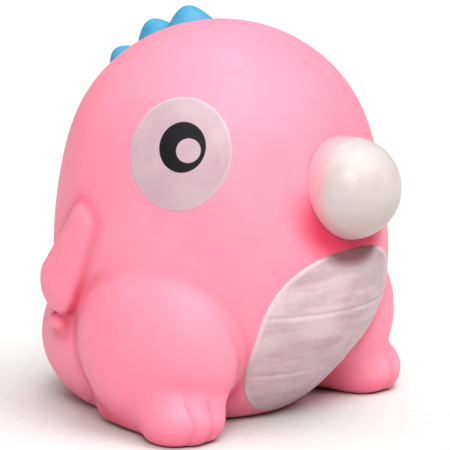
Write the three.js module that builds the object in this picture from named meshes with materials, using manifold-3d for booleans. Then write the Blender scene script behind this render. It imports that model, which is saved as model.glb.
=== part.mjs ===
// Hollow vinyl dinosaur that blows a rubber bubble out of its mouth when it is squeezed.
// Millimetres, +Z up. The toy faces -Y and its left side is +X. It stands on z = 0.
import * as THREE from 'three';
import { mergeVertices } from 'three/addons/utils/BufferGeometryUtils.js';
import Module from 'manifold-3d';

const wasm = await Module();
wasm.setup();

// ---------- driving dimensions ----------

// The moulded body is a soft blend of rounded masses. Paired masses are given for the left side.
const HEAD = { centre: [0, -1.2, 54.2], radii: [36, 35, 34.3] };
const TORSO = { centre: [0, -1.4, 32], radii: [36.2, 38.2, 30.2], blend: 14 };
const RUMP = { centre: [0, 9.1, 15.2], radii: [33, 34, 22], blend: 8 };
const THIGH = { centre: [28, -7, 20], radii: [14.2, 20.5, 20.5], blend: 1.6 };
const TAIL = { root: [0, 30, 12], tip: [0, 40, 7.5], rootR: 10, tipR: 5.5, blend: 6 };
const ARM = { shoulder: [36.2, 7.9, 45.4], hand: [34.2, 16.3, 31.2], shoulderR: 4.2, handR: 7.2 };
const ARM_FLATNESS = 2;
const ARM_TURN = THREE.MathUtils.degToRad(15);
const ARM_BLEND = 1.2;
const THUMB = { centre: [32.2, 18.6, 21.7], radii: [3, 3.2, 2.3] };
const PAW = { centre: [32, -18.5, 4.8], radii: [7.6, 8, 5.6], blend: 3.5 };
const PAW_SPLAY = THREE.MathUtils.degToRad(12);
const HEEL = { back: [1.8, 22.4, -0.6], front: [0.9, 2, 0], backR: 4.6, frontR: 5.8, blend: 3 };
const TOE_RADII = [3.7, 6, 5.2];
const TOES = [[-4.3, -0.9], [0, -2.1], [4.3, -0.7]];
// The body's rounded underside is cut flat a little above its lowest level, to stand on.
const BASE_ROUNDING = 1.6;
const BASE_SUNK = 0.3;

// How the body's surface is divided: rays from the upright axis, over the head from its centre,
// down the sides, then in under the base. Shares are of the way from top to underside.
const RAYS = { axisY: 2, headZ: 54, headShare: 0.36, sideShare: 0.46, sideEndZ: 2.5 };
const UNDER_RAYS = { firstZ: 4, lastZ: 22, reach: 42 };
const BODY_GRID = { columns: 64, rows: 40 };
const HOLLOW_GRID = { columns: 28, rows: 18 };
const MARCH = { from: 95, steps: 90, stride: 0.75 };

const WALL = 2.4;
const GAP = 0.3;
// How far a cutting tool runs on past the surface that it opens.
const PAST = 4;
const GROUND_ACROSS = 168;

// Round mouth, looking straight ahead, and the membrane swollen out of it.
const MOUTH_Z = 53.8;
const MOUTH_R = 11;
const SOCKET = { outerR: 13.2, frontY: -50, rearY: -25.5 };
const BUBBLE = { centreY: -38.3, radius: 11.35, skin: 0.6, neckR: 7.9, rearY: -25.5 };
const COLLAR = { boreR: 5.6, spigotR: 7, spigotY: -30.5, plate: 1.5, skirtR: 13.5, skirtY: -28.6 };
const BAND = { innerR: 8.2, outerR: 9.6, frontY: -29.3, rearY: -26.5 };

// Eyes lie flush in shallow recesses. Each disc is drawn square to the eye's axis.
const EYE_AXIS = { azimuth: 64, elevation: 8 };
const EYE_Z = 58.6;
const INLAY = 0.7;
const EYE = { forward: 0.55, up: -0.7, across: 11.35, tall: 12.35 };
const PUPIL = { forward: 1.25, up: 0.7, across: 5.25, tall: 5.6 };
const GLINT = { forward: 2.65, up: 0, across: 2.8, tall: 2.75 };

// White oval on the front, with two grooves pressed across it.
const BELLY = { z: 20.9, across: 21.4, tall: 19.8, power: 2.3, topHeavy: 0.15 };
const GROOVES = [27, 12.6];
const GROOVE = { radius: 0.5, proud: 0.15, reach: 26, points: 13 };

// Blunt spikes down the middle of the head and back: angle from straight up, length and height.
const SPIKES = [
  { angle: 15.5, length: 10.2, height: 3.8 },
  { angle: 33.2, length: 10.4, height: 4.6 },
  { angle: 52.2, length: 11.2, height: 6 },
  { angle: 73, length: 10.4, height: 5.2 },
  { angle: 92, length: 9.2, height: 4.2 },
  { angle: 109, length: 8.2, height: 3.4 },
];
const SPIKE_WIDTH = 0.82;
const SPIKE_ROOT = 2.5;
// Half outline of a spike, as shares of its half length and of its height.
const SPIKE_OUTLINE = [[1, 0], [0.78, 0.27], [0.54, 0.62], [0.3, 0.88], [0, 1]];

// Opening in the base, behind the middle, and the plug that closes it.
const BASE_HOLE = { y: 14, radius: 6.5, recessR: 9.5, recess: 1.3 };
const PLUG = { flangeR: 9.2, flangeTop: 1, stemR: 6.2, barbZ: 2.7, barbR: 7.8, topR: 6, topZ: 4.6 };

const LOOKS = {
  pinkVinyl: { color: 0xff9dbd, roughness: 0.45, metalness: 0 },
  paintWhite: { color: 0xf3dfe3, roughness: 0.5, metalness: 0 },
  paintBlack: { color: 0x1a181d, roughness: 0.3, metalness: 0 },
  paintBlue: { color: 0x55b8e0, roughness: 0.45, metalness: 0 },
  whiteRubber: { color: 0xeee2e0, roughness: 0.35, metalness: 0 },
  stiffPlastic: { color: 0xe9e6e2, roughness: 0.5, metalness: 0 },
};

// ---------- distance to the moulded body, negative inside ----------

function ellipsoid(x, y, z, { centre, radii }) {
  const px = x - centre[0];
  const py = y - centre[1];
  const pz = z - centre[2];
  const scaled = Math.hypot(px / radii[0], py / radii[1], pz / radii[2]);
  const slope = Math.hypot(px / radii[0] ** 2, py / radii[1] ** 2, pz / radii[2] ** 2);
  return slope < 1e-9 ? -Math.min(...radii) : (scaled * (scaled - 1)) / slope;
}

function roundCone(p, a, b, ra, rb) {
  const ab = b.map((v, i) => v - a[i]);
  const ap = p.map((v, i) => v - a[i]);
  const dot = (u, v) => u[0] * v[0] + u[1] * v[1] + u[2] * v[2];
  const t = THREE.MathUtils.clamp(dot(ap, ab) / dot(ab, ab), 0, 1);
  return Math.hypot(...ap.map((v, i) => v - t * ab[i])) - (ra + (rb - ra) * t);
}

function join(a, b, width) {
  const h = THREE.MathUtils.clamp(0.5 + (0.5 * (b - a)) / width, 0, 1);
  return b + (a - b) * h - width * h * (1 - h);
}

function cutAway(a, b, width) {
  return -join(-a, -b, width);
}

function trunk(x, y, z) {
  const upper = join(ellipsoid(x, y, z, HEAD), ellipsoid(x, y, z, TORSO), TORSO.blend);
  const whole = join(upper, ellipsoid(x, y, z, RUMP), RUMP.blend);
  return join(whole, ellipsoid(Math.abs(x), y, z, THIGH), THIGH.blend);
}

// The hollow inside follows this plainer form, without the limbs and the tail.
function core(x, y, z) {
  return cutAway(trunk(x, y, z), -z, BASE_ROUNDING);
}

// Coordinates in axes that are turned by an angle about Z.
function swung([x, y, z], angle) {
  const c = Math.cos(angle);
  const s = Math.sin(angle);
  return [x * c + y * s, y * c - x * s, z];
}

function foot(x, y, z) {
  const fromPaw = [Math.abs(x) - PAW.centre[0], y - PAW.centre[1], z - PAW.centre[2]];
  const point = swung(fromPaw, PAW_SPLAY);
  const heel = roundCone(point, HEEL.back, HEEL.front, HEEL.backR, HEEL.frontR);
  const paw = ellipsoid(...point, { centre: [0, 0, 0], radii: PAW.radii });
  return join(heel, paw, HEEL.blend);
}

// The arm is flattened against the body's side.
function arm(x, y, z) {
  const flat = (point) => {
    const [ax, ay, az] = swung(point, ARM_TURN);
    return [ax * ARM_FLATNESS, ay, az];
  };
  const point = flat([Math.abs(x), y, z]);
  const length = roundCone(point, flat(ARM.shoulder), flat(ARM.hand), ARM.shoulderR, ARM.handR);
  return length / Math.sqrt(ARM_FLATNESS);
}

function body(x, y, z) {
  const tail = roundCone([x, y, z], TAIL.root, TAIL.tip, TAIL.rootR, TAIL.tipR);
  let d = join(trunk(x, y, z), tail, TAIL.blend);
  d = join(d, foot(x, y, z), PAW.blend);
  d = join(d, arm(x, y, z), ARM_BLEND);
  return cutAway(d, -z - BASE_SUNK, BASE_ROUNDING);
}

// Outermost point on a ray where the distance equals level, coming in from far away.
function surfacePoint(origin, direction, level, distance = body) {
  const point = new THREE.Vector3();
  let t = MARCH.from;
  for (let i = 0; i < MARCH.steps; i += 1) {
    point.copy(direction).multiplyScalar(t).add(origin);
    t -= MARCH.stride * (distance(point.x, point.y, point.z) - level);
  }
  return point.copy(direction).multiplyScalar(t).add(origin);
}

// The body's outward direction, from differences over a small step e.
function surfaceNormal(p) {
  const e = 0.05;
  return new THREE.Vector3(
    body(p.x + e, p.y, p.z) - body(p.x - e, p.y, p.z),
    body(p.x, p.y + e, p.z) - body(p.x, p.y - e, p.z),
    body(p.x, p.y, p.z + e) - body(p.x, p.y, p.z - e),
  ).normalize();
}

// ---------- solids ----------

function toSolid(geometry) {
  const bare = geometry.clone();
  bare.deleteAttribute('normal');
  bare.deleteAttribute('uv');
  const merged = mergeVertices(bare, 1e-4);
  return new wasm.Manifold(new wasm.Mesh({
    numProp: 3,
    vertProperties: new Float32Array(merged.attributes.position.array),
    triVerts: new Uint32Array(merged.index.array),
  }));
}

function toGeometry(solid) {
  const { vertProperties, triVerts } = solid.getMesh();
  const geometry = new THREE.BufferGeometry();
  geometry.setAttribute('position', new THREE.BufferAttribute(vertProperties, 3));
  geometry.setIndex(new THREE.BufferAttribute(triVerts, 1));
  geometry.computeVertexNormals();
  return geometry;
}

// Where row v (0 at the top, 1 under the base) starts on the upright axis, and how far its rays
// tilt from straight up.
function rowRay(v) {
  const { lerp } = THREE.MathUtils;
  const { headZ, headShare, sideShare, sideEndZ } = RAYS;
  if (v < headShare) return { start: headZ, tilt: (v / headShare) * (Math.PI / 2) };
  const down = (v - headShare) / sideShare;
  if (down < 1) return { start: lerp(headZ, sideEndZ, down), tilt: Math.PI / 2 };
  const inward = (v - headShare - sideShare) / (1 - headShare - sideShare);
  const start = lerp(UNDER_RAYS.firstZ, UNDER_RAYS.lastZ, inward);
  return { start, tilt: Math.PI - Math.atan2(UNDER_RAYS.reach * (1 - inward), start) };
}

// A sphere drawn in onto one level of the body.
function wrappedSphere({ columns, rows }, level, distance) {
  const geometry = new THREE.SphereGeometry(1, columns, rows);
  const { position, uv } = geometry.attributes;
  for (let i = 0; i < position.count; i += 1) {
    const { start, tilt } = rowRay(Math.acos(position.getY(i)) / Math.PI);
    const turn = 2 * Math.PI * uv.getX(i);
    const flat = Math.sin(tilt) < 1e-6 ? 0 : Math.sin(tilt);
    const ray = new THREE.Vector3(-flat * Math.sin(turn), flat * Math.cos(turn), Math.cos(tilt));
    const p = surfacePoint(new THREE.Vector3(0, RAYS.axisY, start), ray, level, distance);
    position.setXYZ(i, p.x, p.y, p.z);
  }
  return geometry;
}

// An ellipsoid on its own, for a toe or a thumb.
function lobe(centre, radii, splay = 0) {
  const shape = new THREE.SphereGeometry(1, 12, 8).scale(...radii).rotateZ(splay);
  return toSolid(shape.translate(...centre));
}

// Turned about a line along Y through the middle of the mouth. Points are [radius, y].
function turnedAtMouth(points, segments = 48) {
  const profile = points.map(([r, y]) => new THREE.Vector2(r, y));
  return new THREE.LatheGeometry(profile, segments).translate(0, 0, MOUTH_Z);
}

// Turned about the upright line through the base opening. Points are [radius, z].
function turnedAtBase(points, segments = 36) {
  const profile = points.map(([r, z]) => new THREE.Vector2(r, z));
  return new THREE.LatheGeometry(profile, segments).rotateX(Math.PI / 2).translate(0, BASE_HOLE.y, 0);
}

function arcPoints(centreY, radius, fromDeg, toDeg, steps) {
  return Array.from({ length: steps + 1 }, (_, i) => {
    const a = THREE.MathUtils.degToRad(fromDeg + ((toDeg - fromDeg) * i) / steps);
    return [Math.max(0, radius * Math.sin(a)), centreY - radius * Math.cos(a)];
  });
}

// A thin sheet that follows the body between two depths. It starts as a turned disc, or as a washer
// when it has a hole, and each point of that is moved onto the body along the sheet's axis.
// outer(turn) and inner(turn) give the outlines as [across, up].
function sheet({ origin, axis, across, up, outer, inner, low, high, rings, segments }) {
  const hub = inner ? 1 : 0;
  const middle = () => [0, 0];
  const profile = [];
  for (let ring = 0; ring <= rings; ring += 1) profile.push(new THREE.Vector2(hub + ring / rings, low));
  for (let ring = rings; ring >= 0; ring -= 1) profile.push(new THREE.Vector2(hub + ring / rings, high));
  if (inner) profile.push(profile[0].clone());
  const geometry = new THREE.LatheGeometry(profile, segments);
  const { position } = geometry.attributes;
  for (let i = 0; i < position.count; i += 1) {
    const mix = Math.hypot(position.getX(i), position.getZ(i)) - hub;
    const turn = Math.atan2(position.getX(i), position.getZ(i));
    const [oa, ob] = outer(turn);
    const [ia, ib] = (inner || middle)(turn);
    const start = origin.clone()
      .addScaledVector(across, ia + (oa - ia) * mix)
      .addScaledVector(up, ib + (ob - ib) * mix);
    const p = surfacePoint(start, axis, position.getY(i));
    position.setXYZ(i, p.x, p.y, p.z);
  }
  return toSolid(geometry);
}

// Eye outlines: shape is EYE, PUPIL or GLINT, side is 1 on the left and -1 on the right.
function oval(shape, side, grow = 0) {
  return (turn) => [
    -side * shape.forward + (shape.across + grow) * Math.cos(turn),
    shape.up + (shape.tall + grow) * Math.sin(turn),
  ];
}

function eyeSheet(side, outer, inner, low, high, rings) {
  const azimuth = THREE.MathUtils.degToRad(EYE_AXIS.azimuth);
  const elevation = THREE.MathUtils.degToRad(EYE_AXIS.elevation);
  const axis = new THREE.Vector3(
    side * Math.sin(azimuth) * Math.cos(elevation),
    -Math.cos(azimuth) * Math.cos(elevation),
    Math.sin(elevation),
  );
  const across = new THREE.Vector3(0, 0, 1).cross(axis).normalize();
  const up = axis.clone().cross(across);
  const origin = new THREE.Vector3(0, 0, EYE_Z);
  return sheet({ origin, axis, across, up, outer, inner, low, high, rings, segments: 28 });
}

function bellySheet(grow, low, high) {
  const outer = (turn) => {
    const c = Math.abs(Math.cos(turn)) ** BELLY.power;
    const s = Math.abs(Math.sin(turn)) ** BELLY.power;
    const reach = (c + s) ** (-1 / BELLY.power);
    const fuller = 1 + BELLY.topHeavy * Math.sin(turn);
    return [
      (BELLY.across * fuller + grow) * reach * Math.cos(turn),
      (BELLY.tall + grow) * reach * Math.sin(turn),
    ];
  };
  return sheet({
    origin: new THREE.Vector3(0, 0, BELLY.z),
    axis: new THREE.Vector3(0, -1, 0),
    across: new THREE.Vector3(1, 0, 0),
    up: new THREE.Vector3(0, 0, 1),
    outer,
    inner: null,
    low,
    high,
    rings: 5,
    segments: 40,
  });
}

// A round rod laid across the belly on its surface, at one height.
function grooveTool(z) {
  const forward = new THREE.Vector3(0, -1, 0);
  const points = Array.from({ length: GROOVE.points + 1 }, (_, i) => {
    const x = GROOVE.reach * ((2 * i) / GROOVE.points - 1);
    return surfacePoint(new THREE.Vector3(x, 0, z), forward, GROOVE.proud);
  });
  const round = new THREE.Shape().absarc(0, 0, GROOVE.radius, 0, 2 * Math.PI);
  const extrudePath = new THREE.CatmullRomCurve3(points);
  const steps = GROOVE.points + 1;
  return toSolid(new THREE.ExtrudeGeometry(round, { steps, curveSegments: 3, extrudePath }));
}

// A blunt spike that stands on the body, on the middle line, at an angle from straight up.
function spike({ angle, length, height }, bodyAndGap) {
  const a = THREE.MathUtils.degToRad(angle);
  const ray = new THREE.Vector3(0, Math.sin(a), Math.cos(a));
  const foot = surfacePoint(new THREE.Vector3(...HEAD.centre), ray, 0);
  const out = surfaceNormal(foot);
  const side = new THREE.Vector3(1, 0, 0);
  const along = side.clone().cross(out);
  const half = length / 2;
  const corners = SPIKE_OUTLINE.map(([r, h]) => new THREE.Vector2(r * half, h * height));
  const outline = new THREE.SplineCurve(corners).getPoints(5);
  outline[outline.length - 1].x = 0;
  const root = [new THREE.Vector2(0, -SPIKE_ROOT), new THREE.Vector2(half, -SPIKE_ROOT)];
  const profile = [...root, ...outline];
  const frame = new THREE.Matrix4().makeBasis(side.multiplyScalar(SPIKE_WIDTH), out, along);
  const cone = new THREE.LatheGeometry(profile, 14).applyMatrix4(frame.setPosition(foot));
  return toSolid(cone).subtract(bodyAndGap);
}

// ---------- pieces ----------

const moulded = toSolid(wrappedSphere(BODY_GRID, 0, body));
const inside = toSolid(wrappedSphere(HOLLOW_GRID, -WALL, core));
const mouldedAndGap = toSolid(wrappedSphere(BODY_GRID, GAP, body));

let outside = moulded;
for (const side of [1, -1]) {
  for (const [dx, dy] of TOES) {
    const [offX, offY] = swung([dx, dy, 0], -PAW_SPLAY);
    const place = [side * (PAW.centre[0] + offX), PAW.centre[1] + offY, PAW.centre[2]];
    outside = outside.add(lobe(place, TOE_RADII, side * PAW_SPLAY));
  }
  const [x, y, z] = THUMB.centre;
  outside = outside.add(lobe([side * x, y, z], THUMB.radii));
}

const ground = new THREE.BoxGeometry(GROUND_ACROSS, GROUND_ACROSS, PAST);
outside = outside.subtract(toSolid(ground.translate(0, 0, -PAST / 2)));

const rodAtMouth = (radius, front, rear) => toSolid(turnedAtMouth([
  [0, front], [radius, front], [radius, rear], [0, rear],
]));
const socket = rodAtMouth(SOCKET.outerR, SOCKET.frontY, SOCKET.rearY);
const bore = rodAtMouth(MOUTH_R, SOCKET.frontY - PAST, SOCKET.rearY + PAST);
const bubbleOutline = arcPoints(BUBBLE.centreY, BUBBLE.radius + GAP, 0, 180, 20);
const bubbleRoom = toSolid(turnedAtMouth(bubbleOutline));
const baseBore = toSolid(turnedAtBase([
  [0, -PAST],
  [BASE_HOLE.recessR, -PAST],
  [BASE_HOLE.recessR, BASE_HOLE.recess],
  [BASE_HOLE.radius, BASE_HOLE.recess],
  [BASE_HOLE.radius, WALL + PAST],
  [0, WALL + PAST],
]));

let skin = outside.subtract(inside).add(socket.intersect(outside));
skin = skin.subtract(bore).subtract(bubbleRoom).subtract(baseBore);
skin = skin.subtract(bellySheet(GAP, -INLAY - GAP, PAST));
for (const side of [1, -1]) {
  skin = skin.subtract(eyeSheet(side, oval(EYE, side, GAP), null, -INLAY - GAP, PAST, 4));
}

let belly = bellySheet(0, -INLAY, 0);
for (const z of GROOVES) belly = belly.subtract(grooveTool(z));

const neckInner = BUBBLE.neckR - BUBBLE.skin;
const bubbleInner = BUBBLE.radius - BUBBLE.skin;
const neckAngle = (neck, radius) => 180 - THREE.MathUtils.radToDeg(Math.asin(neck / radius));
const bubble = turnedAtMouth([
  ...arcPoints(BUBBLE.centreY, BUBBLE.radius, 0, neckAngle(BUBBLE.neckR, BUBBLE.radius), 10),
  [BUBBLE.neckR, BUBBLE.rearY],
  [neckInner, BUBBLE.rearY],
  ...arcPoints(BUBBLE.centreY, bubbleInner, 0, neckAngle(neckInner, bubbleInner), 8).reverse(),
], 28);

const plateFront = SOCKET.rearY + GAP;
const plateRear = plateFront + COLLAR.plate;
const collar = turnedAtMouth([
  [COLLAR.boreR, COLLAR.spigotY],
  [COLLAR.spigotR, COLLAR.spigotY],
  [COLLAR.spigotR, plateFront],
  [COLLAR.skirtR, plateFront],
  [COLLAR.skirtR, COLLAR.skirtY],
  [COLLAR.skirtR + COLLAR.plate, COLLAR.skirtY],
  [COLLAR.skirtR + COLLAR.plate, plateRear],
  [COLLAR.boreR, plateRear],
  [COLLAR.boreR, COLLAR.spigotY],
], 36);

const band = turnedAtMouth([
  [BAND.innerR, BAND.frontY],
  [BAND.outerR, BAND.frontY],
  [BAND.outerR, BAND.rearY],
  [BAND.innerR, BAND.rearY],
  [BAND.innerR, BAND.frontY],
], 36);

const plug = turnedAtBase([
  [0, GAP],
  [PLUG.flangeR, GAP],
  [PLUG.flangeR, PLUG.flangeTop],
  [PLUG.stemR, PLUG.flangeTop],
  [PLUG.stemR, PLUG.barbZ],
  [PLUG.barbR, PLUG.barbZ],
  [PLUG.topR, PLUG.topZ],
  [0, PLUG.topZ],
]);

const toy = new THREE.Group();

function add(name, shape, look) {
  const geometry = shape.isBufferGeometry ? shape : toGeometry(shape);
  const mesh = new THREE.Mesh(geometry, new THREE.MeshStandardMaterial(look));
  mesh.name = name;
  toy.add(mesh);
}

add('body_skin', skin, LOOKS.pinkVinyl);
add('belly_field', belly, LOOKS.paintWhite);
for (const [name, side] of [['left', 1], ['right', -1]]) {
  const eye = oval(EYE, side);
  const pupil = oval(PUPIL, side);
  const glint = oval(GLINT, side);
  const white = eyeSheet(side, eye, oval(PUPIL, side, GAP), -INLAY, 0, 3);
  const black = eyeSheet(side, pupil, oval(GLINT, side, GAP), -INLAY, 0, 2);
  add(`eye_white_${name}`, white, LOOKS.paintWhite);
  add(`eye_pupil_${name}`, black, LOOKS.paintBlack);
  add(`eye_glint_${name}`, eyeSheet(side, glint, null, -INLAY, 0, 2), LOOKS.paintWhite);
}
SPIKES.forEach((size, i) => add(`spike_${i + 1}`, spike(size, mouldedAndGap), LOOKS.paintBlue));
add('bubble', bubble, LOOKS.whiteRubber);
add('mouth_collar', collar, LOOKS.stiffPlastic);
add('neck_band', band, LOOKS.stiffPlastic);
add('base_plug', plug, LOOKS.stiffPlastic);

export default toy;
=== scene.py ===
"""Looks for the hollow vinyl dinosaur that blows a rubber bubble out of its mouth when squeezed.

The toy faces -Y, its left side is +X, and it stands on z = 0. Shapes are worked out in millimetres
as distances to soft blends of rounded masses, and go to Blender in metres.
"""

import math

import bpy
import numpy as np
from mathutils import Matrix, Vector


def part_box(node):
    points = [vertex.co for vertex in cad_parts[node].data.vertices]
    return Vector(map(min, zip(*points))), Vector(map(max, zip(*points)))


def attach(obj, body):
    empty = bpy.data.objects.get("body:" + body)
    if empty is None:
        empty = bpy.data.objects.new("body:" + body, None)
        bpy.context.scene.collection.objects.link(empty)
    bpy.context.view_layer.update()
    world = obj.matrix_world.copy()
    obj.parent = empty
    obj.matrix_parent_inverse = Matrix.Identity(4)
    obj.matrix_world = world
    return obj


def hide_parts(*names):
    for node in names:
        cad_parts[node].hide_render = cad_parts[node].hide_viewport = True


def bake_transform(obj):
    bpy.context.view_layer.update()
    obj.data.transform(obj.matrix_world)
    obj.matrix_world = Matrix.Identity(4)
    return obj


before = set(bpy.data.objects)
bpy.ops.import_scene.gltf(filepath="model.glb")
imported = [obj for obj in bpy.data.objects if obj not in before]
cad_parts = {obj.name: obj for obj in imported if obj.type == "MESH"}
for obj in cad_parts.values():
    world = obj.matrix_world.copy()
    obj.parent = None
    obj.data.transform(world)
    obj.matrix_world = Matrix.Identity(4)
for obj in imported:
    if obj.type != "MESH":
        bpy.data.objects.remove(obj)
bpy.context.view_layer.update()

MM = 0.001
TOY = "toy"

# ---------- the moulded body: rounded masses, in millimetres, paired ones on the left ----------

HEAD = {"centre": (0, -1.2, 54.2), "radii": (36, 35, 34.3)}
TORSO = {"centre": (0, -1.4, 32), "radii": (36.2, 38.2, 30.2)}
RUMP = {"centre": (0, 9.1, 15.2), "radii": (33, 34, 22)}
THIGH = {"centre": (28, -7, 20), "radii": (14.2, 20.5, 20.5)}
TORSO_BLEND = 14
RUMP_BLEND = 8
THIGH_BLEND = 1.6
TAIL = {"a": (0, 30, 12), "b": (0, 40, 7.5), "ra": 10, "rb": 5.5}
TAIL_BLEND = 6
ARM = {"a": (36.2, 7.9, 45.4), "b": (34.2, 16.3, 31.2), "ra": 4.2, "rb": 7.2}
ARM_FLATNESS = 2
ARM_TURN = math.radians(15)
ARM_BLEND = 1.7
THUMB = {"centre": (31.7, 18.9, 21.6), "radii": (2.6, 3.1, 2.2)}
THUMB_BLEND = 1.6
PAW = {"centre": (0, 0, 0), "radii": (7.6, 8, 5.6)}
PAW_PLACE = (32, -17.9, 5)
PAW_SPLAY = math.radians(12)
PAW_BLEND = 3.5
HEEL = {"a": (1.8, 22.4, -0.6), "b": (0.9, 2, 0), "ra": 4.6, "rb": 5.8}
HEEL_BLEND = 6
TOE_RADII = (3.7, 6, 5.2)
TOES = ((-3.9, -0.9), (1.4, -2.1), (5.6, -0.3))
TOE_BLEND = 3.4
TOE_CREASE = {"depth": 0.45, "width": 0.5, "start": -0.5, "fade": 4}
BASE_ROUNDING = 1.6
BASE_SUNK = 0.3

# The box that the skin is meshed in, and the size of its grid cells.
SKIN_LOW = (-44, -46, -1.5)
SKIN_HIGH = (44, 48, 91)
SKIN_STEP = 0.65

# ---------- mouth and base ----------

# Where the mouth, the bubble and the base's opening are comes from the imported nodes.
BUBBLE_LOW, BUBBLE_HIGH = (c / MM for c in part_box("bubble"))
BAND_LOW, BAND_HIGH = (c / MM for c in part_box("neck_band"))
COLLAR_LOW, COLLAR_HIGH = (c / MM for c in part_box("mouth_collar"))
PLUG_LOW, PLUG_HIGH = (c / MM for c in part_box("base_plug"))
BUBBLE_R = (BUBBLE_HIGH.x - BUBBLE_LOW.x) / 2
BUBBLE_Y = BUBBLE_LOW.y + BUBBLE_R
MOUTH_Z = (BUBBLE_HIGH.z + BUBBLE_LOW.z) / 2
FIT_GAP = 0.3
NECK_R = 7.9
MEMBRANE_SKIN = 0.6
SHOULDER_LENGTH = 6.3
# The membrane's way in from its shoulder to its neck: how far back each turn is, how far in.
FOLD = {"turns": (2.2, 3.4, 4.6), "in_at_first": 0.4, "out_at_second": 0.8, "rounding": 1.6}
MOUTH_R = 10.8
MOUTH_REAR = BUBBLE_HIGH.y + FIT_GAP
POCKET = {"start": 5.8, "flare": 1.5, "extra": 1.1}
LIP_ROUNDING = 0.3
PLUG_Y = (PLUG_LOW.y + PLUG_HIGH.y) / 2
BASE_HOLE = {"radius": 6.5, "depth": 8, "recess_r": 9.5, "recess": 1.3, "rounding": 0.4}
COLLAR = {"bore": 5.6, "skirt": 1.5, "skirt_front": -28.6, "seat": 0.1, "rounding": 0.4}
BAND = {"thickness": 1.4, "groove": 0.5, "groove_depth": 0.35, "rounding": 0.3}
PLUG = {"dimple": 3.2, "dimple_rim": 4.2, "dimple_depth": 0.35, "flange": 0.7, "rounding": 0.3}
PLUG_STEM = {"radius": 6.2, "barb_z": 2.4, "barb": 7.8, "tip": 6}

# ---------- paint ----------

EYE_AZIMUTH = math.radians(64)
EYE_ELEVATION = math.radians(8)
EYE_Z = 58.6
EYE = {"forward": 0.55, "up": -0.7, "across": 11.35, "tall": 12.35, "lift": 0.06, "rings": 40}
PUPIL = {"forward": 1.25, "up": 0.7, "across": 5.25, "tall": 5.6, "lift": 0.11, "rings": 24}
GLINT = {"forward": 2.65, "up": 0, "across": 2.8, "tall": 2.75, "lift": 0.16, "rings": 16}
EYE_SEGMENTS = 112
BELLY = {"z": 20.9, "across": 21.4, "tall": 19.8, "power": 2.3, "top_heavy": 0.15}
BELLY_MESH = {"lift": 0.07, "rings": 110, "segments": 300}
BELLY_SEAT = {"depth": 0.3, "rim": 0.97, "fade": 0.05}
GROOVES = {"places": (27, 12.6), "depth": 0.26, "width": 0.36, "fade": 0.06}
RIDGE = {"height": 0.1, "drop": 1.0, "width": 0.7}
# A film of paint: how deep it goes into the skin, the share of it that rounds off at its rim,
# and how its rings crowd outwards.
PAINT = {"depth": 0.5, "rim": 0.03, "crowding": 0.9}

# ---------- the crest ----------

SPIKES = (
    {"angle": 15.5, "length": 10.2, "height": 3.8},
    {"angle": 33.2, "length": 10.4, "height": 4.6},
    {"angle": 52.2, "length": 11.2, "height": 6},
    {"angle": 73, "length": 10.4, "height": 5.2},
    {"angle": 92, "length": 9.2, "height": 4.2},
    {"angle": 109, "length": 8.2, "height": 3.4},
)
# The first two spikes run into one another.
SPIKE_GROUPS = ((1, 2), (3,), (4,), (5,), (6,))
SPIKE_WIDTH = 0.82
SPIKE_BELL = 1.35
SPIKE_SPREAD = 1.2
SPIKE_MERGE = 1.6
SPIKE_ROOT = 1.2
SPIKE_STEEPNESS = 0.7
SPIKE_REACH = 8.5
SPIKE_STEP = 0.33

# ---------- painted shade: in creases, by the floor, under the bubble and beside arms and thighs ---

# How far out from the skin a crease is felt for when shade is painted into it, and what share each reach
# has in it.
SHADE_REACHES = ((3, 0.1), (7, 0.25), (13, 0.4))
# Share of painted shade where the skin is close to the floor.
FLOOR_SHADE_SHARE = 0.35
BALL_SHADE = {"share": 0.75, "reach": 9, "start": 0.3, "height": 1.2}
# Painted shade beside an arm or behind a thigh.
VALLEY_SHADE = {"share": 0.22, "width": 0.9, "thigh_fade": 10}

# ---------- finding the surface ----------

TINY = 1e-9
GRADIENT_STEP = 0.03
LONGEST_MOVE = 0.6
FLATTEST = 0.05
CAST = {"start": 95.0, "share": 0.8, "rounds": 70}

# ---------- camera, as the toy is seen: from its right front, a little above ----------

VIEW_AZIMUTH = math.radians(-50)
VIEW_ELEVATION = math.radians(10)
VIEW_DISTANCE = 0.625
VIEW_TARGET = Vector((6.69, 3.0, 40.01)) * MM
LENS = 216.1
SENSOR = 36

# ---------- light: name, direction it comes from, spread in degrees, power and tint ----------

LIGHTS = (
    ("key", (0.05, -0.48, 0.87), 50, 2.3, (1.0, 0.99, 0.97)),
    ("front", (-0.60, -0.50, 0.63), 22, 1.7, (1, 1, 1)),
    ("side", (-1.0, 0.1, 0.35), 60, 0.3, (1, 1, 1)),
    ("overhead", (0.1, 0.2, 1.0), 60, 1.2, (1, 1, 1)),
)
WORLD_STRENGTH = 0.2
FLOOR = {"radius": 3000, "rings": 6, "segments": 64, "below": 0.2}


# ---------- distances, negative inside; p is an array of points ----------


def ellipsoid(p, centre, radii):
    radii = np.array(radii, float)
    q = p - np.array(centre, float)
    scaled = np.linalg.norm(q / radii, axis=-1)
    slope = np.linalg.norm(q / radii**2, axis=-1)
    return scaled * (scaled - 1) / np.maximum(slope, TINY)


def round_cone(p, a, b, ra, rb):
    """A rod from a to b with round ends, of radius ra at a and rb at b."""
    a = np.array(a, float)
    ab = np.array(b, float) - a
    t = np.clip((p - a) @ ab / (ab @ ab), 0, 1)
    return np.linalg.norm(p - a - t[..., None] * ab, axis=-1) - (ra + (rb - ra) * t)


def join(a, b, width):
    """Two distances as one, with a fillet of a width where they meet."""
    h = np.clip(0.5 + 0.5 * (b - a) / width, 0, 1)
    return b + (a - b) * h - width * h * (1 - h)


def cut_away(a, b, width):
    """The part of a that is also in b, with a rounded edge."""
    return -join(-a, -b, width)


def mirrored(p):
    return np.stack([np.abs(p[..., 0]), p[..., 1], p[..., 2]], axis=-1)


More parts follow.
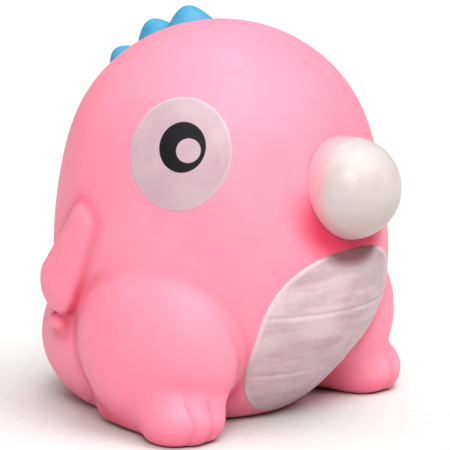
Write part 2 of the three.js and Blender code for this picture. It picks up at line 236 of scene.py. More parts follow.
def swung(p, angle):
    """p in axes that are turned by an angle about Z."""
    c, s = math.cos(angle), math.sin(angle)
    x, y = p[..., 0], p[..., 1]
    return np.stack([x * c + y * s, y * c - x * s, p[..., 2]], axis=-1)


def foot(p):
    q = swung(mirrored(p) - np.array(PAW_PLACE), PAW_SPLAY)
    shape = join(round_cone(q, **HEEL), ellipsoid(q, **PAW), HEEL_BLEND)
    for x, y in TOES:
        shape = join(shape, ellipsoid(q, (x, y, 0), TOE_RADII), TOE_BLEND)
    in_front = np.clip(TOE_CREASE["start"] - q[..., 1] / TOE_CREASE["fade"], 0, 1)
    for (x, _), (next_x, _) in zip(TOES, TOES[1:]):
        off = (q[..., 0] - (x + next_x) / 2) / TOE_CREASE["width"]
        shape = shape + TOE_CREASE["depth"] * in_front * np.exp(-off * off)
    return shape


def arm(p):
    squeeze = np.array([ARM_FLATNESS, 1, 1])
    a, b = (swung(np.array(ARM[end], float), ARM_TURN) * squeeze for end in ("a", "b"))
    shape = round_cone(swung(mirrored(p), ARM_TURN) * squeeze, a, b, ARM["ra"], ARM["rb"])
    return join(shape / math.sqrt(ARM_FLATNESS), ellipsoid(mirrored(p), **THUMB), THUMB_BLEND)


def closed_body(p):
    """The moulding before its mouth and base are opened."""
    d = join(ellipsoid(p, **HEAD), ellipsoid(p, **TORSO), TORSO_BLEND)
    d = join(d, ellipsoid(p, **RUMP), RUMP_BLEND)
    d = join(d, round_cone(p, **TAIL), TAIL_BLEND)
    d = join(d, ellipsoid(mirrored(p), **THIGH), THIGH_BLEND)
    d = join(d, foot(p), PAW_BLEND)
    d = join(d, arm(p), ARM_BLEND)
    return np.maximum(cut_away(d, -p[..., 2] - BASE_SUNK, BASE_ROUNDING), -p[..., 2])


def belly_outline(p):
    """1 on the belly oval's rim, less inside it, on the front of the body only."""
    up = (p[..., 2] - BELLY["z"]) / BELLY["tall"]
    across = p[..., 0] / (BELLY["across"] * (1 + BELLY["top_heavy"] * up))
    power = BELLY["power"]
    inside = (np.abs(across) ** power + np.abs(up) ** power) ** (1 / power)
    return np.where(p[..., 1] < 0, inside, 2.0)


def belly_relief(p):
    """Grooves pressed across the belly, each with a low ridge under it, fading out at the rim."""
    total = np.zeros(p.shape[:-1])
    for z in GROOVES["places"]:
        below = z - p[..., 2]
        total -= GROOVES["depth"] * np.exp(-((below / GROOVES["width"]) ** 2))
        total += RIDGE["height"] * np.exp(-(((below - RIDGE["drop"]) / RIDGE["width"]) ** 2))
    return total * np.clip((1 - belly_outline(p)) / GROOVES["fade"], 0, 1)


def belly_seat(p):
    """How far the skin sinks under the belly paint, so that only paint shows in its grooves."""
    inside = (BELLY_SEAT["rim"] - belly_outline(p)) / BELLY_SEAT["fade"]
    return BELLY_SEAT["depth"] * np.clip(inside, 0, 1)


def from_mouth_axis(p):
    return np.hypot(p[..., 0], p[..., 2] - MOUTH_Z)


def bubble_ball(p):
    return np.linalg.norm(p - np.array([0, BUBBLE_Y, MOUTH_Z]), axis=-1) - BUBBLE_R


def open_body(p):
    """The moulding with its mouth pocket, which is wider behind the lip, and its base opening."""
    behind_lip = np.clip((p[..., 1] - BUBBLE_Y - POCKET["start"]) / POCKET["flare"], 0, 1)
    pocket = from_mouth_axis(p) - MOUTH_R - POCKET["extra"] * behind_lip
    pocket = np.maximum(pocket, p[..., 1] - MOUTH_REAR)
    d = cut_away(closed_body(p) - belly_relief(p) + belly_seat(p), -pocket, LIP_ROUNDING)
    r = np.hypot(p[..., 0], p[..., 1] - PLUG_Y)
    recess = np.maximum(r - BASE_HOLE["recess_r"], p[..., 2] - BASE_HOLE["recess"])
    hole = np.maximum(r - BASE_HOLE["radius"], p[..., 2] - BASE_HOLE["depth"])
    return cut_away(d, -np.minimum(recess, hole), BASE_HOLE["rounding"])


def gradient(p, distance):
    e = GRADIENT_STEP
    steps = np.eye(3) * e
    return np.stack([(distance(p + s) - distance(p - s)) / (2 * e) for s in steps], axis=-1)


def directions(p, distance):
    g = gradient(p, distance)
    return g / np.maximum(np.linalg.norm(g, axis=-1, keepdims=True), TINY)


def onto(p, distance, rounds=4):
    """Moves points onto the zero level of a distance."""
    for _ in range(rounds):
        g = gradient(p, distance)
        size = np.maximum((g * g).sum(-1), FLATTEST)
        p = p - np.clip(distance(p) / size, -LONGEST_MOVE, LONGEST_MOVE)[..., None] * g
    return p


def cast(start, axis):
    """The closed body's outermost points, seen from far out along an axis."""
    axis = np.array(axis, float)
    t = np.full(start.shape[:-1], CAST["start"])
    for _ in range(CAST["rounds"]):
        t = t - CAST["share"] * closed_body(start + t[..., None] * axis)
    return start + t[..., None] * axis


# ---------- meshes ----------


def surface_net(distance, low, high, step):
    """One vertex in each grid cell that the zero level crosses, and a quad across each crossed edge."""
    axes = [np.arange(a, b + step, step) for a, b in zip(low, high)]
    shape = tuple(len(a) for a in axes)
    field = np.empty(shape)
    for i, x in enumerate(axes[0]):
        y, z = np.meshgrid(axes[1], axes[2], indexing="ij")
        field[i] = distance(np.stack([np.full_like(y, x), y, z], axis=-1))
    inside = field < 0
    cells = tuple(n - 1 for n in shape)
    total = np.zeros(cells + (3,))
    count = np.zeros(cells)
    quads = []
    numbers = np.arange(np.prod(cells)).reshape(cells)
    for axis in range(3):
        u, v = (axis + 1) % 3, (axis + 2) % 3
        near = [slice(None)] * 3
        far = [slice(None)] * 3
        near[axis] = slice(0, -1)
        far[axis] = slice(1, None)
        a, b = field[tuple(near)], field[tuple(far)]
        crossed = np.argwhere(inside[tuple(near)] != inside[tuple(far)])
        at = tuple(crossed.T)
        point = crossed.astype(float)
        point[:, axis] += a[at] / (a[at] - b[at])
        inner = ((crossed[:, u] > 0) & (crossed[:, v] > 0)
                 & (crossed[:, u] < shape[u] - 1) & (crossed[:, v] < shape[v] - 1))
        corners = []
        for du, dv in ((0, 0), (1, 0), (1, 1), (0, 1)):
            cell = crossed[inner].copy()
            cell[:, u] -= du
            cell[:, v] -= dv
            where = tuple(cell.T)
            np.add.at(total, where, point[inner])
            np.add.at(count, where, 1)
            corners.append(numbers[where])
        quad = np.stack(corners, axis=1)
        flip = ~inside[tuple(near)][at][inner]
        quad[flip] = quad[flip][:, ::-1]
        quads.append(quad)
    used = np.flatnonzero(count.ravel())
    points = total.reshape(-1, 3)[used] / count.ravel()[used, None]
    renumber = np.zeros(count.size, int)
    renumber[used] = np.arange(len(used))
    return points * step + np.array([a[0] for a in axes]), renumber[np.concatenate(quads)]


def evened(points, faces, distance, rounds=2):
    """Slides points towards their neighbours' middle along the surface, so that its quads are even."""
    points = onto(points, distance)
    ends = np.concatenate([faces[:, [i, (i + 1) % 4]] for i in range(4)])
    for _ in range(rounds):
        total = np.zeros_like(points)
        count = np.zeros(len(points))
        for a, b in ((0, 1), (1, 0)):
            np.add.at(total, ends[:, a], points[ends[:, b]])
            np.add.at(count, ends[:, a], 1)
        points = onto(0.5 * points + 0.5 * total / count[:, None], distance, 2)
    return points


def add_tint(mesh, label, values):
    """Gives a mesh one number for each point, for its material to read."""
    layer = mesh.attributes.new(label, "FLOAT", "POINT")
    layer.data.foreach_set("value", np.asarray(values, np.float32))


def make_mesh(name, points, faces, tints=None):
    """A smooth-shaded piece from points in millimetres."""
    mesh = bpy.data.meshes.new(name)
    mesh.from_pydata((np.asarray(points) * MM).tolist(), [], faces)
    for label, values in (tints or {}).items():
        add_tint(mesh, label, values)
    mesh.validate()
    mesh.shade_smooth()
    piece = bpy.data.objects.new(name, mesh)
    bpy.context.scene.collection.objects.link(piece)
    return piece


def finished(piece, material, nodes, slot, body=TOY):
    """Gives a piece its material and its body, and hides the CAD nodes it stands for. Its slot is not
    used.
    """
    piece.data.materials.append(material)
    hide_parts(*nodes)
    if body:
        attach(piece, body)
    return piece


def ball_shade(points):
    """1 on skin close under the bubble, fading out with distance and up its sides."""
    height = (points[:, 2] - MOUTH_Z) / (BALL_SHADE["height"] * BUBBLE_R)
    below = np.clip(BALL_SHADE["start"] - height, 0, 1)
    return below * np.clip(1 - bubble_ball(points) / BALL_SHADE["reach"], 0, 1)


def hollowness(points, normals):
    """Painted shade: 0 on open, rounded skin and up to 1 deep in a crease, by the floor or under the
    bubble.
    """
    total = BALL_SHADE["share"] * ball_shade(points)
    for reach, share in SHADE_REACHES:
        ahead = points + normals * reach
        closed = np.clip(1 - closed_body(ahead) / reach, 0, 1)
        floor_shade = FLOOR_SHADE_SHARE * np.clip(1 - ahead[:, 2] / reach, 0, 1)
        total += share * np.maximum(closed, floor_shade)
    return np.clip(total, 0, 1)


def valley(points):
    """Painted shade: 1 just beside an arm or behind a thigh, falling away over a few millimetres."""
    from_arm = arm(points)
    from_thigh = ellipsoid(mirrored(points), **THIGH)
    behind_thigh = np.clip((points[:, 1] - THIGH["centre"][1]) / VALLEY_SHADE["thigh_fade"], 0, 1)
    share = np.where(from_arm < from_thigh, 1.0, behind_thigh)
    t = np.clip(np.minimum(from_arm, from_thigh), 0, None) / VALLEY_SHADE["width"]
    return share * t * np.exp(1 - t)


def moulded_skin():
    points, faces = surface_net(open_body, SKIN_LOW, SKIN_HIGH, SKIN_STEP)
    points = evened(points, faces, open_body)
    normals = directions(points, open_body)
    # Painted shade for the skin: in creases, by the floor, under the bubble and beside the arms and
    # thighs.
    hollow = np.clip(hollowness(points, normals) + VALLEY_SHADE["share"] * valley(points), 0, 1)
    return make_mesh("skin", points, faces.tolist(), {"hollow": hollow})


def film_faces(rings, segments, points_a_side):
    """Faces of a round film: its top, its underside wound the other way, and the wall at its rim."""
    faces = []
    for offset, flip in ((0, False), (points_a_side, True)):
        for j in range(segments):
            k = (j + 1) % segments
            tri = [offset, offset + 1 + j, offset + 1 + k]
            faces.append(tri[::-1] if flip else tri)
            for i in range(rings - 1):
                a = offset + 1 + i * segments
                b = a + segments
                quad = [a + j, b + j, b + k, a + k]
                faces.append(quad[::-1] if flip else quad)
    top_rim = 1 + (rings - 1) * segments
    low_rim = points_a_side + top_rim
    for j in range(segments):
        k = (j + 1) % segments
        faces.append([top_rim + k, top_rim + j, low_rim + j, low_rim + k])
    return faces


def paint_patch(name, start_of, axis, lift, rings, segments):
    """A thin closed film on the skin. start_of(mix, turn) is a flat outline filled from its middle
    (mix 0) to its rim (mix 1), seen along an axis."""
    mix = np.linspace(0, 1, rings + 1)[1:] ** PAINT["crowding"]
    turn = np.arange(segments) * 2 * math.pi / segments
    m, t = np.meshgrid(mix, turn, indexing="ij")
    flat = np.concatenate([start_of(np.zeros(1), np.zeros(1)), start_of(m.ravel(), t.ravel())])
    top = cast(flat, axis)
    out = directions(top, closed_body)
    edge = np.concatenate([[0.0], m.ravel()])
    # Painted shade on the paint: in creases, by the floor and under the bubble.
    patch_shade = hollowness(top, out)
    # How far down the patch each point is, for the painted shade that darkens the paint towards the
    # bottom.
    low = np.clip((top[:, 2].max() - top[:, 2]) / np.ptp(top[:, 2]), 0, 1)
    height = lift * np.clip((1 - edge) / PAINT["rim"], 0, 1) ** 0.5
    height = height + belly_relief(top)
    under = top - out * PAINT["depth"]
    top = top + out * height[:, None]
    tints = {"edge": np.tile(edge, 2), "hollow": np.tile(patch_shade, 2), "low": np.tile(low, 2)}
    faces = film_faces(rings, segments, len(top))
    return make_mesh(name, np.concatenate([top, under]), faces, tints)


def eye_patch(name, side, shape):
    """An oval of eye paint on one side, placed on a plane that faces out of the eye."""
    axis = np.array([
        side * math.sin(EYE_AZIMUTH) * math.cos(EYE_ELEVATION),
        -math.cos(EYE_AZIMUTH) * math.cos(EYE_ELEVATION),
        math.sin(EYE_ELEVATION),
    ])
    across = np.cross([0, 0, 1], axis)
    across /= np.linalg.norm(across)
    up = np.cross(axis, across)

    def start_of(mix, turn):
        a = -side * shape["forward"] + shape["across"] * mix * np.cos(turn)
        b = shape["up"] + shape["tall"] * mix * np.sin(turn)
        return np.array([0, 0, EYE_Z]) + a[:, None] * across + b[:, None] * up

    return paint_patch(name, start_of, axis, shape["lift"], shape["rings"], EYE_SEGMENTS)


def belly_patch():
    def start_of(mix, turn):
        c, s = np.cos(turn), np.sin(turn)
        power = BELLY["power"]
        reach = (np.abs(c) ** power + np.abs(s) ** power) ** (-1 / power)
        x = BELLY["across"] * (1 + BELLY["top_heavy"] * s) * reach * c * mix
        z = BELLY["z"] + BELLY["tall"] * reach * s * mix
        return np.stack([x, np.zeros_like(x), z], axis=-1)

    return paint_patch("belly_paint", start_of, (0, -1, 0), **BELLY_MESH)


def spike_frame(spike):
    """Where a spike stands on the middle line, and its direction out of the skin."""
    angle = math.radians(spike["angle"])
    ray = np.array([0, math.sin(angle), math.cos(angle)])
    base = cast(np.array([HEAD["centre"]], float), ray)
    return base[0], directions(base, closed_body)[0]


def spike_height(p, spike, base, out):
    """How far a blunt spike stands above the skin over each point, and below 0 past its edge."""
    along = np.cross([1, 0, 0], out)
    half = spike["length"] * SPIKE_SPREAD / 2
    q = p - base
    radius = np.hypot(q @ along / half, q[..., 0] / (half * SPIKE_WIDTH))
    bell = (1 - np.minimum(radius, 1) ** 2) ** SPIKE_BELL
    return spike["height"] * np.where(radius < 1, bell, 1 - radius)


def crest_piece(group):
    """One spike, or two that run into one another, with a root that reaches into the skin."""
    spikes = [SPIKES[i - 1] for i in group]
    frames = [spike_frame(s) for s in spikes]

    def height(p):
        tall = spike_height(p, spikes[0], *frames[0])
        for spike, place in zip(spikes[1:], frames[1:]):
            tall = -join(-tall, -spike_height(p, spike, *place), SPIKE_MERGE)
        return tall

    def solid(p):
        skin = closed_body(p)
        return np.maximum(SPIKE_STEEPNESS * (skin - height(p)), -SPIKE_ROOT - skin)

    bases = np.array([b for b, _ in frames])
    low, high = bases.min(0) - SPIKE_REACH, bases.max(0) + SPIKE_REACH
    points, faces = surface_net(solid, low, high, SPIKE_STEP)
    points = onto(points, solid)
    name = "crest_" + "_".join(str(i) for i in group)
    rise = np.clip(closed_body(points), 0, None)
    return make_mesh(name, points, faces.tolist(), {"rise": rise})


def rounded(corners, radius, steps=5):
    """A closed or open profile with an arc in place of each inner corner."""
    result = [corners[0]]
    for before, corner, after in zip(corners, corners[1:], corners[2:]):
        corner = np.array(corner, float)
        back = np.array(before) - corner
        ahead = np.array(after) - corner
        reach = min(radius, 0.45 * np.linalg.norm(back), 0.45 * np.linalg.norm(ahead))
        a = corner + back / np.linalg.norm(back) * reach
        b = corner + ahead / np.linalg.norm(ahead) * reach
        for t in np.linspace(0, 1, steps):
            result.append(tuple((1 - t) ** 2 * a + 2 * t * (1 - t) * corner + t**2 * b))
    result.append(corners[-1])
    return result


def turned(name, profile, centre, upright, segments=96):
    """Turns a profile of (radius, place along the axis) about an axis along Z or Y."""
    closed = np.allclose(profile[0], profile[-1])
    rows = profile[:-1] if closed else profile
    turn = np.arange(segments) * 2 * math.pi / segments
    points, starts = [], []
    for r, h in rows:
        starts.append(len(points))
        if r < TINY:
            points.append((0.0, 0.0, h))
        else:
            points.extend((r * math.cos(t), r * math.sin(t), h) for t in turn)
    faces = []
    links = list(zip(range(len(rows)), range(1, len(rows))))
    if closed:
        links.append((len(rows) - 1, 0))
    for a, b in links:
        for j in range(segments):
            k = (j + 1) % segments
            if rows[a][0] < TINY:
                faces.append((starts[a], starts[b] + j, starts[b] + k))
            elif rows[b][0] < TINY:
                faces.append((starts[a] + k, starts[a] + j, starts[b]))
            else:
                faces.append((starts[a] + k, starts[a] + j, starts[b] + j, starts[b] + k))
    points = np.array(points)
    if not upright:
        points = points[:, [0, 2, 1]]
        faces = [f[::-1] for f in faces]
    return make_mesh(name, points + np.array(centre), faces)


def membrane_outline(radius, neck, steps):
    """From the front of the swollen ball to its widest, straight back inside the lip, then in to
    the neck that the band grips."""
    ball = [
        (radius * math.sin(a), BUBBLE_Y - radius * math.cos(a))
        for a in np.linspace(0, math.pi / 2, steps)
    ]
    shoulder = BUBBLE_Y + SHOULDER_LENGTH
    first, second, third = (shoulder + turn for turn in FOLD["turns"])
    corners = [
        ball[-1],
        (radius, shoulder),
        (radius - FOLD["in_at_first"], first),
        (neck + FOLD["out_at_second"], second),
        (neck, third),
        (neck, BUBBLE_HIGH.y),
    ]
    return ball[:-1] + rounded(corners, FOLD["rounding"], 7)


def membrane():
    """The swollen rubber, tinted pink where it leaves the lip, partly the lip showing through and partly
    a painted reflection of it, and with painted shade on its underside.
    """
    outside = membrane_outline(BUBBLE_R, NECK_R, 60)
    inside = membrane_outline(BUBBLE_R - MEMBRANE_SKIN, NECK_R - MEMBRANE_SKIN, 44)[::-1]
    piece = turned("bubble_membrane", outside + inside, (0, 0, MOUTH_Z), upright=False, segments=128)
    y = np.array([v.co.y for v in piece.data.vertices]) / MM
    z = np.array([v.co.z for v in piece.data.vertices]) / MM
    # Tints for the pink by the lip, partly showing through and partly a painted reflection, and for
    # painted shade on the underside.
    tints = {"lip": (y - BUBBLE_Y + 4) / 7, "under": (MOUTH_Z - z) / BUBBLE_R}
    for label, values in tints.items():
        add_tint(piece.data, label, np.clip(values, 0, 1))
    return piece


def collar():
    """A tube that the membrane's neck fits over, on a plate with a skirt round the mouth's socket."""
    front, plate_front, rear = COLLAR_LOW.y, MOUTH_REAR - COLLAR["seat"], COLLAR_HIGH.y
    middle = (front + rear) / 2
    bore = COLLAR["bore"]
    spigot = NECK_R - MEMBRANE_SKIN - FIT_GAP
    outer = (COLLAR_HIGH.x - COLLAR_LOW.x) / 2
    skirt = outer - COLLAR["skirt"]
    skirt_front = COLLAR["skirt_front"]
    profile = [
        (bore, middle), (bore, front), (spigot, front), (spigot, plate_front),
        (skirt, plate_front), (skirt, skirt_front), (outer, skirt_front), (outer, rear),
        (bore, rear), (bore, middle),
    ]
    return turned("collar", rounded(profile, COLLAR["rounding"]), (0, 0, MOUTH_Z), upright=False)


def band():
    """A stiff ring that grips the membrane's neck, with a rounded groove round its middle."""
    outer = (BAND_HIGH.x - BAND_LOW.x) / 2
    inner = outer - BAND["thickness"]
    front, rear = BAND_LOW.y, BAND_HIGH.y
    middle = (front + rear) / 2
    half = BAND["groove"]
    profile = [
        (inner, middle), (inner, front), (outer, front), (outer, middle - half),
        (outer - BAND["groove_depth"], middle), (outer, middle + half), (outer, rear),
        (inner, rear), (inner, middle),
    ]
    return turned("band", rounded(profile, BAND["rounding"]), (0, 0, MOUTH_Z), upright=False)


def plug():
    """A push-in plug with a raised ring, a shallow dimple to grip it by, and a barbed stem."""
    low, high = PLUG_LOW.z, PLUG_HIGH.z
    outer = (PLUG_HIGH.x - PLUG_LOW.x) / 2
    dimple = low + PLUG["dimple_depth"]
    flange = low + PLUG["flange"]
    stem = PLUG_STEM["radius"]
    barb = low + PLUG_STEM["barb_z"]
    profile = [
        (0, dimple), (PLUG["dimple"], dimple), (PLUG["dimple_rim"], low), (outer, low),
        (outer, flange), (stem, flange), (stem, barb), (PLUG_STEM["barb"], barb),
        (PLUG_STEM["tip"], high), (0, high),
    ]
    return turned("plug", rounded(profile, PLUG["rounding"]), (0, PLUG_Y, 0), upright=True)


# ---------- materials ----------


def srgb(r, g, b):
    """A colour of three parts out of 255, as Blender's linear colour."""
    parts = [c / 255 for c in (r, g, b)]
    linear = [c / 12.92 if c <= 0.04045 else ((c + 0.055) / 1.055) ** 2.4 for c in parts]
    return (*linear, 1.0)


class Nodes:
    """A material's node tree, with short calls for the nodes used here."""

    def __init__(self, name):
        self.material = bpy.data.materials.new(name)
        self.material.use_nodes = True
        self.tree = self.material.node_tree
        self.shader = self.tree.nodes["Principled BSDF"]
        self.place = self.tree.nodes.new("ShaderNodeTexCoord").outputs["Object"]

    def set(self, **values):
        for label, value in values.items():
            self.shader.inputs[label.replace("_", " ")].default_value = value

    def feed(self, label, output):
        self.tree.links.new(output, self.shader.inputs[label])

    def stretched(self, scale):
        node = self.tree.nodes.new("ShaderNodeMapping")
        node.inputs["Scale"].default_value = scale
        self.tree.links.new(self.place, node.inputs["Vector"])
        return node.outputs["Vector"]

    def noise(self, scale, detail=3.0, roughness=0.5, place=None):
        node = self.tree.nodes.new("ShaderNodeTexNoise")
        node.inputs["Scale"].default_value = scale
        node.inputs["Detail"].default_value = detail
        node.inputs["Roughness"].default_value = roughness
        self.tree.links.new(place or self.place, node.inputs["Vector"])
        return node.outputs["Fac"]

    def attribute(self, name):
        node = self.tree.nodes.new("ShaderNodeAttribute")
        node.attribute_name = name
        return node.outputs["Fac"]

    def spread(self, value, low, high, to_low=0.0, to_high=1.0):
        node = self.tree.nodes.new("ShaderNodeMapRange")
        node.interpolation_type = "SMOOTHSTEP"
        limits = {"From Min": low, "From Max": high, "To Min": to_low, "To Max": to_high}
        for label, number in limits.items():
            node.inputs[label].default_value = number
        self.tree.links.new(value, node.inputs["Value"])
        return node.outputs["Result"]

    def mix(self, share, a, b):
        """Colours a and b, each a colour or an output, mixed by a share."""
        node = self.tree.nodes.new("ShaderNodeMix")
        node.data_type = "RGBA"
        self.tree.links.new(share, node.inputs["Factor"])
        for socket, colour in ((node.inputs[6], a), (node.inputs[7], b)):
            if isinstance(colour, tuple):
                socket.default_value = colour
            else:
                self.tree.links.new(colour, socket)
        return node.outputs[2]

    def sum(self, *weighted):
        """The sum of (output, weight) pairs."""
        total = None
        for output, weight in weighted:
            node = self.tree.nodes.new("ShaderNodeMath")
            node.operation = "MULTIPLY_ADD"
            node.inputs[1].default_value = weight
            self.tree.links.new(output, node.inputs[0])
            if total is None:
                node.inputs[2].default_value = 0.0
            else:
                self.tree.links.new(total, node.inputs[2])
            total = node.outputs[0]
        return total

    def bump(self, height, distance, strength=1.0):
        node = self.tree.nodes.new("ShaderNodeBump")
        node.inputs["Strength"].default_value = strength
        node.inputs["Distance"].default_value = distance
        self.tree.links.new(height, node.inputs["Height"])
        self.feed("Normal", node.outputs["Normal"])


def pink_vinyl():
    """Soft matt vinyl: even pink with slow drifts in tone, painted shade that makes it redder in
    creases, by the floor, under the bubble and beside the arms and thighs, and a fine mould grain.
    """
    n = Nodes("pink_vinyl")
    drift = n.spread(n.noise(30, 2), 0.35, 0.65)
    colour = n.mix(drift, srgb(250, 138, 162), srgb(252, 146, 169))
    cloud = n.spread(n.noise(120, 4, 0.6), 0.45, 0.75, 0.0, 0.35)
    colour = n.mix(cloud, colour, srgb(247, 128, 153))
    # Painted shade: deep red in creases, by the floor, under the bubble and beside an arm or thigh.
    crease = n.spread(n.attribute("hollow"), 0.04, 0.62)
    colour = n.mix(crease, colour, srgb(214, 50, 82))
    n.feed("Base Color", colour)
    n.feed("Roughness", n.spread(n.noise(260, 5, 0.6), 0.3, 0.7, 0.46, 0.58))
    n.bump(n.sum((n.noise(1900, 3), 0.5), (n.noise(420, 2), 0.5)), 0.00005, 0.5)
    n.set(Subsurface_Weight=0.35, Subsurface_Radius=(1.0, 0.32, 0.3), Subsurface_Scale=0.0035)
    n.set(Specular_IOR_Level=0.42)
    return n.material


def white_paint(name, across, thick, thin, dusty, bright):
    """Sprayed white over pink vinyl in two strengths, dusty in patches, bright where it builds up
    at its rim, with painted shade darker towards the bottom, in creases and under the bubble.
    Its streaks are across times as long as they are tall."""
    n = Nodes(name)
    streaks = n.noise(60, 5, 0.62, n.stretched((1, 1, across)))
    clouds = n.noise(90, 5, 0.62)
    cover = n.spread(n.sum((streaks, 0.5), (clouds, 0.5)), 0.4, 0.62)
    colour = n.mix(cover, thick, thin)
    grey = n.spread(n.noise(38, 3, 0.55), 0.5, 0.72, 0.0, 0.5)
    colour = n.mix(grey, colour, dusty)
    rim = n.spread(n.attribute("edge"), 0.94, 0.985)
    colour = n.mix(rim, colour, bright)
    # Painted shade: darker towards the bottom of the patch, in the thin paint's colour.
    low = n.spread(n.attribute("low"), 0.2, 0.9, 0.0, 0.3)
    colour = n.mix(low, colour, thin)
    # Painted shadow under the bubble and painted shade in creases and by the floor, in a dark mauve.
    crease = n.spread(n.attribute("hollow"), 0.16, 0.46, 0.0, 0.95)
    colour = n.mix(crease, colour, srgb(120, 66, 72))
    n.feed("Base Color", colour)
    n.feed("Roughness", n.spread(clouds, 0.3, 0.7, 0.45, 0.6))
    n.bump(n.sum((streaks, 0.5), (n.noise(1500, 3), 0.2)), 0.0002, 0.5)
    n.set(Subsurface_Weight=0.15, Subsurface_Radius=(1.0, 0.5, 0.5), Subsurface_Scale=0.002)
    n.set(Specular_IOR_Level=0.3)
    return n.material


def eye_white():
    return white_paint(
        "eye_white",
        across=1,
        thick=srgb(196, 168, 177),
        thin=srgb(186, 154, 165),
        dusty=srgb(182, 167, 172),
        bright=srgb(206, 178, 187),
    )


def belly_white():
    return white_paint(
        "belly_white",
        across=5,
        thick=srgb(216, 192, 198),
        thin=srgb(190, 158, 166),
        dusty=srgb(200, 189, 193),
        bright=srgb(226, 200, 206),
    )


def black_paint():
    """Satin black paint, a little warmer and thinner at its rim."""
    n = Nodes("black_paint")
    patch = n.spread(n.noise(190, 4), 0.4, 0.7)
    colour = n.mix(patch, srgb(12, 11, 14), srgb(22, 18, 22))
    rim = n.spread(n.attribute("edge"), 0.9, 1.0, 0.0, 0.7)
    colour = n.mix(rim, colour, srgb(60, 34, 42))
    n.feed("Base Color", colour)
    n.feed("Roughness", n.spread(n.noise(420, 4), 0.3, 0.7, 0.5, 0.6))
    n.bump(n.noise(1300, 3), 0.00006, 0.5)
    n.set(Specular_IOR_Level=0.18)
    return n.material


def blue_paint():
    """Brushed sky-blue paint on the spikes, thicker on their tops and thin where it ends."""
    n = Nodes("blue_paint")
    clouds = n.spread(n.noise(240, 4, 0.6), 0.35, 0.68)
    colour = n.mix(clouds, srgb(52, 147, 186), srgb(70, 160, 196))
    low = n.spread(n.attribute("rise"), 0.0, 1.6, 0.6, 0.0)
    colour = n.mix(low, colour, srgb(84, 140, 176))
    n.feed("Base Color", colour)
    n.feed("Roughness", n.spread(n.noise(600, 4), 0.3, 0.7, 0.42, 0.56))
    n.bump(n.sum((n.noise(700, 4), 0.5), (n.noise(2200, 2), 0.3)), 0.00012, 0.5)
    n.set(Subsurface_Weight=0.12, Subsurface_Radius=(0.4, 0.7, 1.0), Subsurface_Scale=0.002)
    return n.material


def white_rubber():
    """Stretched milky rubber: pearly, faintly grey in patches, with painted shade that darkens its
    underside, and pink where it meets the pink lip, partly the lip showing through and partly a painted
    reflection of it.
    """
    n = Nodes("white_rubber")
    milk = n.spread(n.noise(70, 4, 0.6), 0.35, 0.7)
    colour = n.mix(milk, srgb(206, 195, 194), srgb(195, 182, 180))
    # Painted shade: darker and browner towards the underside of the ball.
    under = n.spread(n.attribute("under"), 0.15, 1.0, 0.0, 0.7)
    colour = n.mix(under, colour, srgb(196, 156, 153))
    # Pink where the rubber leaves the lip: partly the lip showing through the thin rubber, partly a
    # painted reflection of the pink lip.
    warm = n.spread(n.attribute("lip"), 0.1, 1.0)
    colour = n.mix(warm, colour, srgb(240, 150, 166))
    n.feed("Base Color", colour)
    n.feed("Roughness", n.spread(n.noise(300, 4), 0.3, 0.7, 0.3, 0.38))
    n.bump(n.sum((n.noise(900, 3), 0.4), (n.noise(160, 3), 0.6)), 0.00003, 0.4)
    n.set(Specular_IOR_Level=0.42)
    return n.material


def stiff_plastic():
    """Off-white moulded plastic with a fine spark-eroded grain."""
    n = Nodes("stiff_plastic")
    tone = n.spread(n.noise(90, 4), 0.35, 0.7)
    n.feed("Base Color", n.mix(tone, srgb(205, 200, 194), srgb(190, 184, 178)))
    n.feed("Roughness", n.spread(n.noise(700, 4), 0.3, 0.7, 0.4, 0.55))
    n.bump(n.noise(1600, 3), 0.00008, 0.5)
    return n.material


def floor_paper():
    """Seamless white studio paper with a faint tooth."""
    n = Nodes("floor_paper")
    tooth = n.spread(n.noise(400, 4), 0.3, 0.7)
    n.feed("Base Color", n.mix(tooth, srgb(212, 212, 212), srgb(217, 217, 217)))
    n.bump(n.noise(900, 2), 0.00005, 0.3)
    n.set(Roughness=0.9, Specular_IOR_Level=0.1)
    return n.material


# ---------- the scene round the toy ----------


def floor():
    """A wide flat disc of paper just under the toy."""
    rings, segments = FLOOR["rings"], FLOOR["segments"]
    points = [(0.0, 0.0, 0.0)]
    for i in range(1, rings + 1):
        r = FLOOR["radius"] * (i / rings) ** 2
        for j in range(segments):
            a = 2 * math.pi * j / segments
            points.append((r * math.cos(a), r * math.sin(a), 0.0))
    faces = [(0, 1 + j, 1 + (j + 1) % segments) for j in range(segments)]
    for i in range(rings - 1):
        a, b = 1 + i * segments, 1 + (i + 1) * segments
        for j in range(segments):
            k = (j + 1) % segments
            faces.append((a + j, b + j, b + k, a + k))
    piece = make_mesh("floor", points, faces)
    piece.data.materials.append(floor_paper())
    piece.location.z = -FLOOR["below"] * MM


def broad_light(name, direction, spread, power, tint):
    """An even light from a wide patch of sky in one direction, as from a large far softbox."""
    data = bpy.data.lights.new(name, "SUN")
    data.angle = math.radians(spread)
    data.energy = power
    data.color = tint
    light = bpy.data.objects.new(name, data)
    away = Vector(direction).normalized()
    light.location = VIEW_TARGET + away
    light.rotation_mode = "QUATERNION"
    light.rotation_quaternion = (-away).to_track_quat("-Z", "Y")
    bpy.context.scene.collection.objects.link(light)


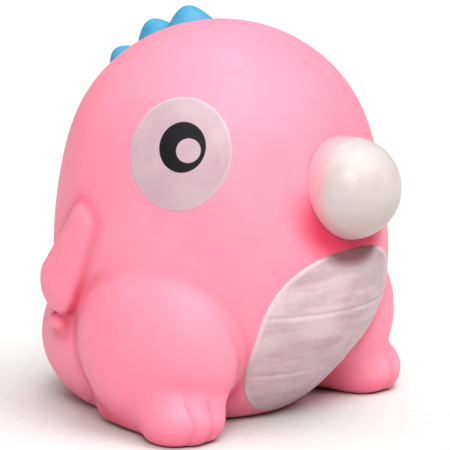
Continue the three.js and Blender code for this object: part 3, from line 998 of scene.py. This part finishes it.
def studio_light():
    for light in LIGHTS:
        broad_light(*light)
    world = bpy.data.worlds.new("studio")
    world.use_nodes = True
    background = world.node_tree.nodes["Background"]
    background.inputs["Color"].default_value = (1.0, 1.0, 1.0, 1.0)
    background.inputs["Strength"].default_value = WORLD_STRENGTH
    bpy.context.scene.world = world


def camera():
    data = bpy.data.cameras.new("camera")
    data.lens = LENS
    data.sensor_width = SENSOR
    data.clip_start = 0.01
    data.clip_end = 20
    eye = bpy.data.objects.new("camera", data)
    flat = math.cos(VIEW_ELEVATION)
    back = Vector((
        math.sin(VIEW_AZIMUTH) * flat,
        -math.cos(VIEW_AZIMUTH) * flat,
        math.sin(VIEW_ELEVATION),
    ))
    eye.location = VIEW_TARGET + back * VIEW_DISTANCE
    eye.rotation_mode = "QUATERNION"
    eye.rotation_quaternion = (-back).to_track_quat("-Z", "Y")
    bpy.context.scene.collection.objects.link(eye)
    bpy.context.scene.camera = eye


def build():
    camera()
    pink = pink_vinyl()
    eye = eye_white()
    black = black_paint()
    blue = blue_paint()
    plastic = stiff_plastic()
    finished(moulded_skin(), pink, ["body_skin"], "pink_vinyl")
    finished(belly_patch(), belly_white(), ["belly_field"], "white_paint")
    for name, side in (("left", 1), ("right", -1)):
        for part, shape, material, slot in (
            ("white", EYE, eye, "white_paint"),
            ("pupil", PUPIL, black, "black_paint"),
            ("glint", GLINT, eye, "white_paint"),
        ):
            piece = eye_patch(f"eye_{part}_paint_{name}", side, shape)
            finished(piece, material, [f"eye_{part}_{name}"], slot)
    for group in SPIKE_GROUPS:
        finished(crest_piece(group), blue, [f"spike_{i}" for i in group], "blue_paint")
    finished(collar(), plastic, ["mouth_collar"], "stiff_plastic")
    finished(band(), plastic, ["neck_band"], "stiff_plastic")
    finished(plug(), plastic, ["base_plug"], "stiff_plastic")
    ball = finished(membrane(), white_rubber(), ["bubble"], "white_rubber", body=None)
    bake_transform(ball)
    floor()
    studio_light()
    bpy.context.scene.view_settings.view_transform = "Standard"


build()
